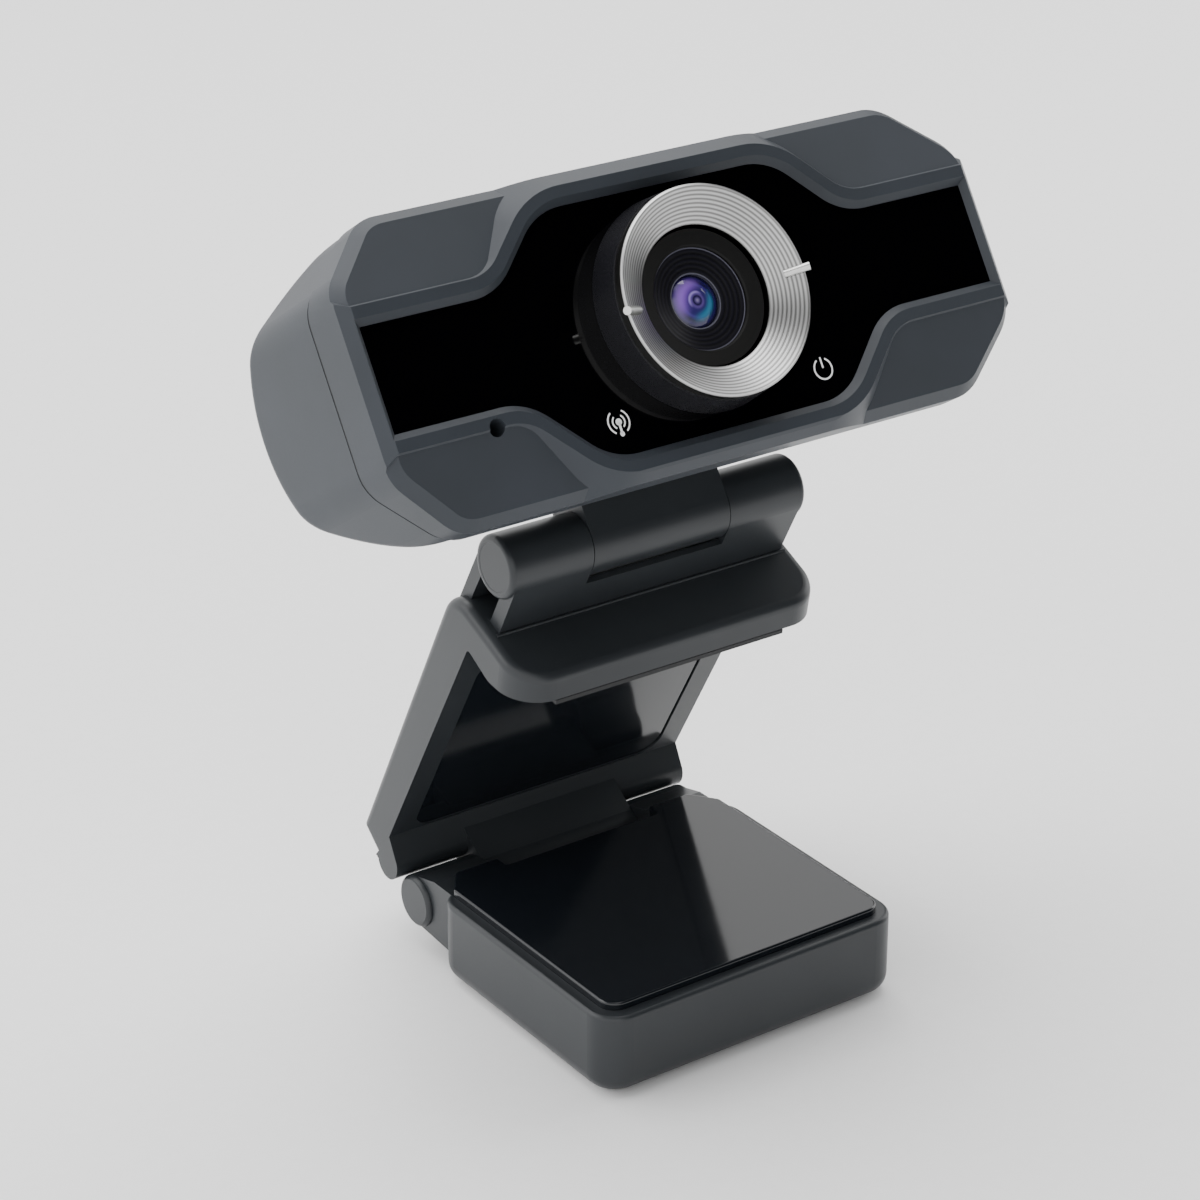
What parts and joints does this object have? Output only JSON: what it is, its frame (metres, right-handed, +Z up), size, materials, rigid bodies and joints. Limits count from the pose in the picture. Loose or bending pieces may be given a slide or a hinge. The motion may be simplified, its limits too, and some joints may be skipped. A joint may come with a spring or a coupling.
{
  "type": "desk camera on a folding clip stand",
  "caption": "Wide desk camera with a turned metal focus ring, tilting on a folding clip stand whose foot rests on a desk, grips a monitor or takes a tripod screw.",
  "frame": {"origin": "centre of the foot's underside, at the mouth of the tripod thread", "axes": "+Z up; -Y is the way the camera looks; +X runs along the head and both hinges"},
  "size_m": [0.0888, 0.0546, 0.1069],
  "materials": {
    "body_plastic": "satin moulded black-grey ABS",
    "housing_plastic": "fine-textured dark grey ABS",
    "inner_plastic": "plain black moulding",
    "gloss_black": "polished piano-black acrylic",
    "pad_rubber": "glossy black silicone grip pad",
    "rubber": "matt black rubber",
    "turned_aluminium": "face-turned, concentric tool marks",
    "steel": "zinc plated",
    "aluminium": "drawn can",
    "brass": "turned",
    "circuit_board": "solder-masked glass-fibre laminate",
    "chip_black": "moulded epoxy",
    "connector_white": "nylon",
    "clear_plastic": "clear acrylic",
    "coated_glass": "multi-coated optical glass"
  },
  "bodies": {
    "foot": {"foot_shell": "body_plastic", "foot_pad": "pad_rubber", "foot_bottom_plate": "inner_plastic", "foot_sole": "rubber", "tripod_insert": "brass", "foot_screws": "steel", "foot_hinge_pin": "steel", "foot_hinge_caps": "body_plastic", "foot_hinge_friction_washers": "steel"},
    "clip": {"clip_arm": "body_plastic", "leg_panel": "pad_rubber", "lip_pad": "rubber", "tilt_hinge_pin": "steel", "tilt_hinge_caps": "body_plastic", "tilt_hinge_friction_washers": "steel"},
    "head": {"neck_knuckle": "body_plastic", "neck_screws": "steel", "rear_shell": "housing_plastic", "cable_grommet": "rubber", "seam_gasket": "rubber", "front_bezel": "housing_plastic", "front_panel": "gloss_black", "head_screws": "steel", "board_screws": "steel", "lens_holder_screws": "steel", "status_light_pipe": "clear_plastic", "power_light_pipe": "clear_plastic", "mic_gasket": "rubber", "microphone": "aluminium", "main_board": "circuit_board", "image_sensor": "chip_black", "image_processor": "chip_black", "flash_memory": "chip_black", "clock_crystal": "steel", "board_connector": "connector_white", "indicator_leds": "clear_plastic", "lens_turret": "gloss_black", "lens_holder": "inner_plastic", "infrared_filter": "coated_glass"},
    "focus_ring": {"focus_ring": "turned_aluminium", "focus_ring_bars": "turned_aluminium", "focus_ring_clip": "inner_plastic", "lens_barrel": "inner_plastic", "lens_retaining_ring": "inner_plastic", "lens_spacer": "inner_plastic", "front_lens": "coated_glass", "rear_lens": "coated_glass"}
  },
  "joints": [
    {"name": "foot_fold", "type": "hinge", "parent": "foot", "child": "clip", "pos_m": [0, 0.0254, 0.0069], "axis": [1, 0, 0], "range_deg": [-65, 52]},
    {"name": "head_tilt", "type": "hinge", "parent": "clip", "child": "head", "pos_m": [0, 0.0055, 0.0614], "axis": [1, 0, 0], "range_deg": [-25, 75]},
    {"name": "focus_turn", "type": "hinge", "parent": "head", "child": "focus_ring", "pos_m": [0, -0.00366, 0.09248], "axis": [0, -0.8387, 0.5446], "range_deg": [-90, 180]}
  ]
}
